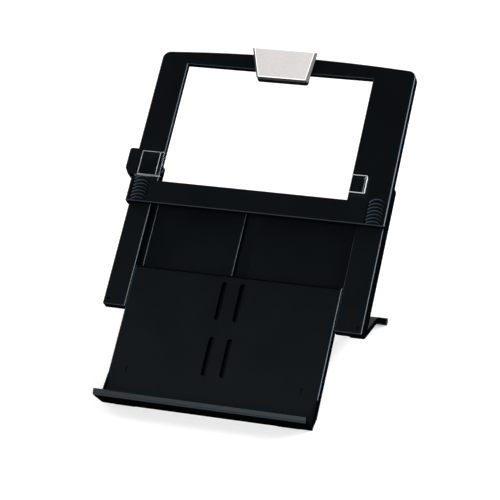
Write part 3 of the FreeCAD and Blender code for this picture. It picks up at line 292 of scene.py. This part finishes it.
def cut_edges(finish, across, over_window):
    """A mask of the guide's frosted cut edges, which are thin lines on its head."""
    left, _ = reach("guide_bar", RIGHT)
    _, top = reach("guide_bar", OUTWARD)
    depth = top - finish.place.along(OUTWARD)
    on_head = across < left + HEAD_WIDTH
    surface = finish.add("ShaderNodeNewGeometry")
    mid_wall = (depth > EDGE_LINE) * (depth < HEAD_DEPTH - EDGE_LINE)
    unlit = mid_wall.larger(surface["Backfacing"])
    wall = surface["Normal"].along(OUTWARD).absolute() < CUT_EDGE
    return wall * (1 - over_window) * (1 - on_head * unlit)


def clear_acrylic():
    """Clear plastic whose cut edges are frosted white, except across the window."""
    finish = Finish("clear_acrylic", transmission_weight=1.0, ior=1.3, specular_ior_level=0.3)
    haze = finish.noise(0.012, 3.0)
    finish.vary("Base Color", finish.blend(haze, (0.8, 0.92, 1.0, 1.0), (0.95, 0.98, 1.0, 1.0)))
    finish.vary("Roughness", finish.level(haze, 0.02, 0.08))
    left, right = reach("guide_bar", RIGHT)
    across = finish.place.along(RIGHT)
    over_window = (across > left + HEAD_WIDTH) * (across < right - END_LAP)
    clear = finish.level(over_window, CLEAR_ON_FRAME, CLEAR_OVER_WINDOW)
    finish.cover(clear, "ShaderNodeBsdfTransparent", grey(1.0))
    frosted = cut_edges(finish, across, over_window)
    finish.cover(frosted, "ShaderNodeBsdfDiffuse", (0.9, 0.95, 1.0, 1.0))
    return finish.material


def clip_rim_highlight(finish):
    """A mask of the narrow band just inside the bevels of the clip's plate, where a highlight is
    painted.
    """
    low, high = reach("clip_cover", CLIP_UP)
    left, right = reach("clip_cover", RIGHT)
    middle, half = (left + right) / 2, (right - left) / 2
    height = finish.place.along(CLIP_UP) - low
    half_here = finish.level(height * (1 / (high - low)), half - CLIP_TAPER, half)
    from_side = half_here - (finish.place.along(RIGHT) - middle).absolute()
    return height.smaller(from_side) < CLIP_HIGHLIGHT_BAND


def silver_paint():
    """Fine silver paint on the clip's face, with a painted white highlight along its rim, over
    darker grey bevels with painted light and shade.
    """
    finish = Finish("silver_clip", metallic=0.3, specular_ior_level=0.5)
    flake = finish.noise(0.0014, 3.0, 0.8)
    cloud = finish.noise(0.02)
    sparkle = flake * 0.85 + cloud * 0.15
    face = finish.blend(sparkle, (0.33, 0.316, 0.307, 1.0), (0.7, 0.678, 0.664, 1.0))
    # A white highlight is painted along the rim of the face.
    face = finish.blend(clip_rim_highlight(finish), face, grey(1.0))
    normal = finish.normal()
    # The darker grey bevels get painted light and shade: lighter where they face right, near black
    # elsewhere.
    lit_side = normal.along(RIGHT) > CLIP_LIT_SIDE
    bevel_light_and_shade = finish.blend(lit_side, grey(0.02), finish.blend(flake, grey(0.06), grey(0.2)))
    on_bevel = normal.along(CLIP_FACING) < CLIP_BEVEL
    finish.vary("Base Color", finish.blend(on_bevel, face, bevel_light_and_shade))
    finish.vary("Roughness", finish.level(flake, 0.36, 0.5))
    finish.relief(flake, 0.00001)
    return finish.material


def steel(name, level, roughness):
    """Steel with fine tool marks."""
    finish = Finish(name, metallic=1.0)
    marks = finish.noise(0.0005, 5.0, 0.7)
    finish.vary("Base Color", finish.blend(marks, grey(level * 0.8), grey(level * 1.1)))
    finish.vary("Roughness", finish.level(marks, roughness - 0.08, roughness + 0.1))
    finish.relief(marks, 0.00001)
    return finish.material


def felt():
    """Dark felt with fine fibres."""
    finish = Finish("felt_glide", sheen_weight=0.3, specular_ior_level=0.1)
    fibre = finish.noise(0.0004, 6.0, 0.8)
    finish.vary("Base Color", finish.blend(fibre, grey(0.02), grey(0.07)))
    finish.vary("Roughness", finish.level(fibre, 0.85, 1.0))
    finish.relief(fibre, 0.0002)
    return finish.material


# Each black plastic's tone, grain and depth of grain, roughness, and anything else of its own.
BLACK_PLASTICS = {
    "black_shell": dict(level=0.0018, grain=0.0013, depth=0.00005, roughness=0.36, ribs=True),
    "black_panel": dict(level=0.0014, grain=0.0013, depth=0.00007, roughness=0.38),
    "black_cover": dict(level=0.0015, grain=0.0006, depth=0.00003, roughness=0.6, shine=0.2),
}


def make_finishes():
    """The finish of each material slot."""
    finishes = {slot: moulded_black(slot, **plastic) for slot, plastic in BLACK_PLASTICS.items()}
    finishes["black_rubber"] = soft_rubber()
    finishes["clear_acrylic"] = clear_acrylic()
    finishes["silver_clip"] = silver_paint()
    finishes["steel_wire"] = steel("steel_wire", level=0.6, roughness=0.3)
    finishes["steel_screw"] = steel("steel_screw", level=0.3, roughness=0.38)
    finishes["felt_glide"] = felt()
    return finishes


def dress_nodes():
    """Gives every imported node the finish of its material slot."""
    finishes = make_finishes()
    for part in frame["record"]["subparts"]:
        mesh = nodes[part["node"]].data
        mesh.materials.clear()
        mesh.materials.append(finishes[part["material_slot"]])


def make_sheet(name, half_width, height, finish):
    """A flat square of the studio round the object."""
    mesh = bpy.data.meshes.new(name)
    plane = bmesh.new()
    bmesh.ops.create_grid(plane, x_segments=1, y_segments=1, size=half_width)
    plane.to_mesh(mesh)
    plane.free()
    sheet = bpy.data.objects.new(name, mesh)
    sheet.location.z = height
    bpy.context.scene.collection.objects.link(sheet)
    mesh.materials.append(finish.material)


def make_floor():
    """A wide pale floor that shows white to the camera and keeps the object's shadow."""
    finish = Finish("pale_floor", base_color=grey(FLOOR_TONE), roughness=1.0,
                    specular_ior_level=0.0, emission_strength=1.0)
    path = finish.add("ShaderNodeLightPath")
    seen = path["Is Camera Ray"] + path["Is Glossy Ray"] + path["Is Transmission Ray"]
    finish.vary("Emission Color", finish.blend(seen, grey(0.0), grey(FLOOR_GLOW)))
    make_sheet("floor", FLOOR_SIZE, 0, finish)


def make_card():
    """A dark card high over the object, which keeps its black faces black."""
    finish = Finish("dark_card", base_color=grey(0.01), roughness=1.0, specular_ior_level=0.0)
    make_sheet("overhead_card", CARD_SIZE, CARD_HEIGHT, finish)


def make_world():
    """Plain white all round."""
    world = bpy.data.worlds.new("studio")
    bpy.context.scene.world = world
    world.use_nodes = True
    back = world.node_tree.nodes["Background"]
    back.inputs["Color"].default_value = grey(1.0)
    back.inputs["Strength"].default_value = 1.0


def make_lamp(name, place, width, power):
    light = bpy.data.lights.new(name, "AREA")
    light.size = width
    light.energy = power
    lamp = bpy.data.objects.new(name, light)
    lamp.location = place
    towards = Vector(LAMP_AIM) - Vector(place)
    lamp.rotation_euler = towards.to_track_quat("-Z", "Y").to_euler()
    bpy.context.scene.collection.objects.link(lamp)


def make_camera():
    lens = bpy.data.cameras.new("camera")
    lens.lens = CAMERA_LENS
    lens.shift_x, lens.shift_y = CAMERA_SHIFT
    camera = bpy.data.objects.new("camera", lens)
    camera.location = CAMERA_PLACE
    camera.rotation_euler = [math.radians(turn) for turn in CAMERA_TURN]
    bpy.context.scene.collection.objects.link(camera)
    bpy.context.scene.camera = camera


dress_nodes()
make_floor()
make_card()
make_world()
for lamp in LAMPS:
    make_lamp(*lamp)
make_camera()
bpy.context.scene.view_settings.view_transform = "Standard"
